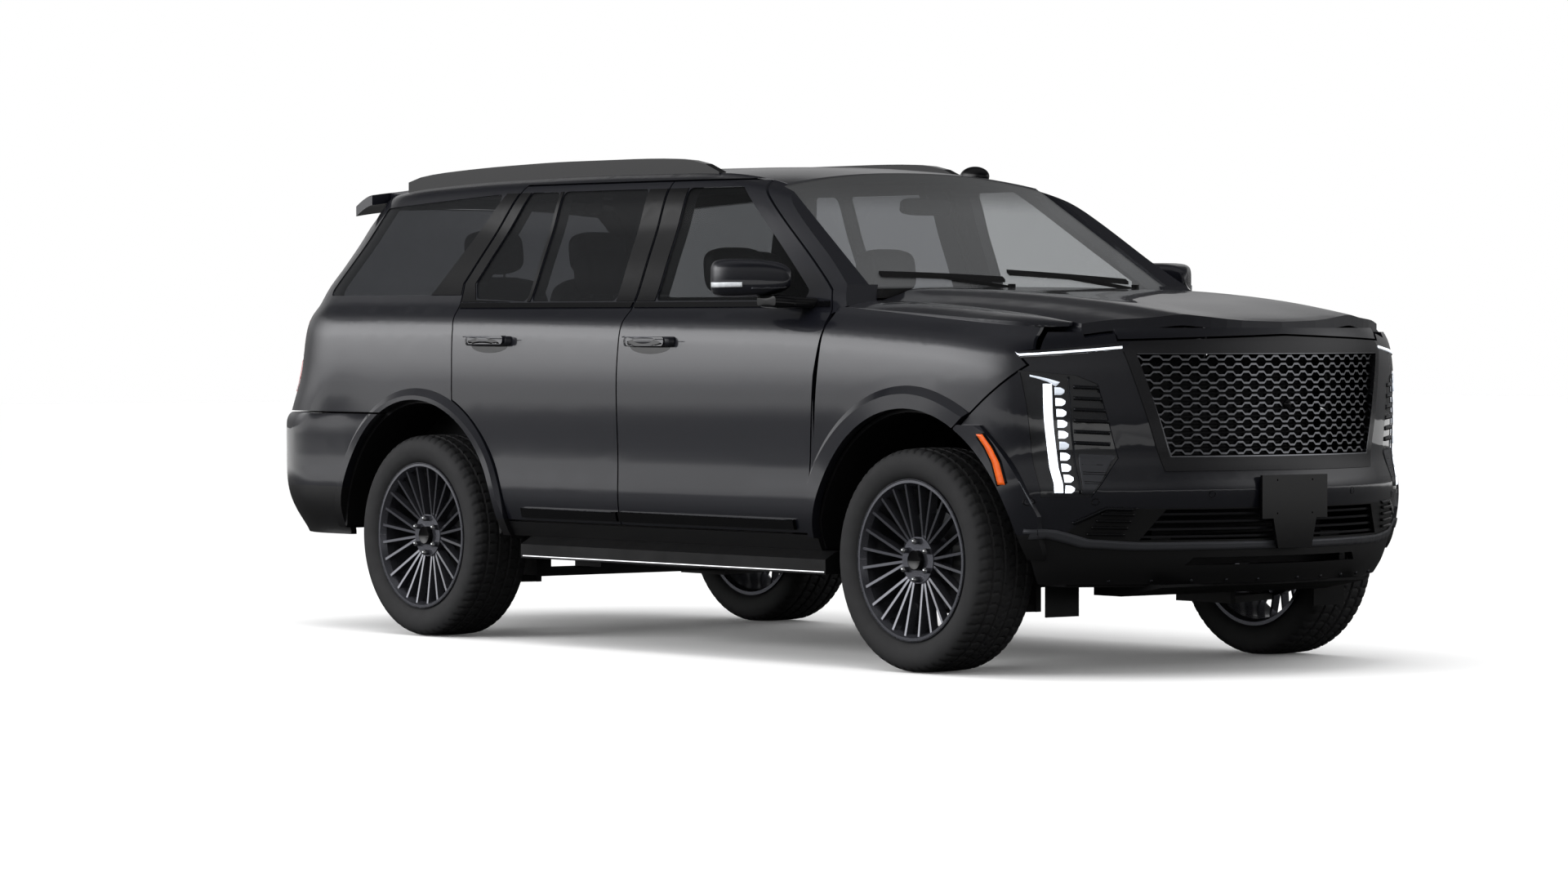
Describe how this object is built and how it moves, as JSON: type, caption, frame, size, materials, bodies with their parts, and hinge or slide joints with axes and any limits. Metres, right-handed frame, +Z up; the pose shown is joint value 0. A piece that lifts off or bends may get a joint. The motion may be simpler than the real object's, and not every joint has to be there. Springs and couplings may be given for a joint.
{
  "type": "full-size family suv",
  "caption": "Full-size sport utility vehicle for a family, with hinged doors, hood and liftgate, steered front wheels, roof rails and running boards.",
  "frame": {"origin": "on the road, halfway along and across the vehicle", "axes": "+X forward, +Y to the vehicle's left, +Z up"},
  "size_m": [5.382, 2.4128, 1.934],
  "materials": {
    "body_paint": "dark metallic clear coat",
    "gloss_black": "gloss",
    "black_plastic": "fine grain",
    "tinted_glass": "light tint",
    "privacy_glass": "dark tint",
    "lamp_lens": "clear",
    "red_lens": "gloss",
    "black_steel": "satin",
    "cast_block": "as cast",
    "radiator_metal": "satin",
    "seat_leather": "smooth",
    "tyre_rubber": "matte",
    "wheel_metal": "gloss"
  },
  "bodies": {
    "body": {"roof_panel": "body_paint", "body_side_left": "body_paint", "body_side_right": "body_paint", "quarter_glass": "privacy_glass", "windshield": "tinted_glass", "front_fenders": "body_paint", "front_bumper": "body_paint", "grille": "gloss_black", "headlamps": "lamp_lens", "plate_bracket": "gloss_black", "rear_bumper": "body_paint", "tail_lamps": "red_lens", "roof_rails": "gloss_black", "running_boards": "black_plastic", "chassis_frame": "black_steel", "engine": "cast_block", "radiator": "radiator_metal", "front_suspension": "black_steel", "rear_suspension": "black_steel", "exhaust": "black_steel", "floor_pan": "black_steel", "wheel_liners": "black_plastic", "firewall": "black_plastic", "dashboard": "black_plastic", "steering_wheel": "black_plastic", "front_seats": "seat_leather", "rear_seats": "seat_leather", "pillar_trims": "gloss_black", "wipers": "black_plastic", "roof_pod": "gloss_black", "undershield": "black_plastic", "nose_cover": "black_plastic"},
    "front_door_left": {"front_door_left": "body_paint", "front_glass_left": "tinted_glass", "mirror_left": "body_paint", "front_trim_left": "gloss_black"},
    "front_door_right": {"front_door_right": "body_paint", "front_glass_right": "tinted_glass", "mirror_right": "body_paint", "front_trim_right": "gloss_black"},
    "rear_door_left": {"rear_door_left": "body_paint", "rear_glass_left": "privacy_glass", "rear_trim_left": "gloss_black"},
    "rear_door_right": {"rear_door_right": "body_paint", "rear_glass_right": "privacy_glass", "rear_trim_right": "gloss_black"},
    "hood": {"hood": "body_paint"},
    "liftgate": {"liftgate": "body_paint", "liftgate_glass": "privacy_glass"},
    "knuckle_left": {"knuckle_left": "black_steel"},
    "knuckle_right": {"knuckle_right": "black_steel"},
    "wheel_front_left": {"tyre_front_left": "tyre_rubber", "rim_front_left": "wheel_metal"},
    "wheel_front_right": {"tyre_front_right": "tyre_rubber", "rim_front_right": "wheel_metal"},
    "wheel_rear_left": {"tyre_rear_left": "tyre_rubber", "rim_rear_left": "wheel_metal"},
    "wheel_rear_right": {"tyre_rear_right": "tyre_rubber", "rim_rear_right": "wheel_metal"}
  },
  "joints": [
    {"name": "steer_left", "type": "hinge", "parent": "body", "child": "knuckle_left", "pos_m": [1.706, 0.785, 0.412], "axis": [0, 0, 1], "range_deg": [-33, 33]},
    {"name": "steer_right", "type": "hinge", "parent": "body", "child": "knuckle_right", "pos_m": [1.706, -0.785, 0.412], "axis": [0, 0, 1], "range_deg": [-33, 33]},
    {"name": "front_left_spin", "type": "hinge", "parent": "knuckle_left", "child": "wheel_front_left", "pos_m": [1.706, 0.87, 0.412], "axis": [0, 1, 0], "continuous": true},
    {"name": "front_right_spin", "type": "hinge", "parent": "knuckle_right", "child": "wheel_front_right", "pos_m": [1.706, -0.87, 0.412], "axis": [0, 1, 0], "continuous": true},
    {"name": "rear_left_spin", "type": "hinge", "parent": "body", "child": "wheel_rear_left", "pos_m": [-1.365, 0.868, 0.412], "axis": [0, 1, 0], "continuous": true},
    {"name": "rear_right_spin", "type": "hinge", "parent": "body", "child": "wheel_rear_right", "pos_m": [-1.365, -0.868, 0.412], "axis": [0, 1, 0], "continuous": true},
    {"name": "front_door_left_hinge", "type": "hinge", "parent": "body", "child": "front_door_left", "pos_m": [1.11, 1.008, 0.9], "axis": [0, 0, -1], "range_deg": [0, 65]},
    {"name": "front_door_right_hinge", "type": "hinge", "parent": "body", "child": "front_door_right", "pos_m": [1.11, -1.008, 0.9], "axis": [0, 0, 1], "range_deg": [0, 65]},
    {"name": "rear_door_left_hinge", "type": "hinge", "parent": "body", "child": "rear_door_left", "pos_m": [-0.02, 1.008, 0.9], "axis": [0, 0, -1], "range_deg": [0, 65]},
    {"name": "rear_door_right_hinge", "type": "hinge", "parent": "body", "child": "rear_door_right", "pos_m": [-0.02, -1.008, 0.9], "axis": [0, 0, 1], "range_deg": [0, 65]},
    {"name": "hood_hinge", "type": "hinge", "parent": "body", "child": "hood", "pos_m": [1.285, 0, 1.425], "axis": [0, -1, 0], "range_deg": [0, 55]},
    {"name": "liftgate_hinge", "type": "hinge", "parent": "body", "child": "liftgate", "pos_m": [-2.112, 0, 1.862], "axis": [0, 1, 0], "range_deg": [0, 85]}
  ],
  "couplings": [
    {"joint": "steer_right", "follows": "steer_left", "ratio": 1}
  ]
}
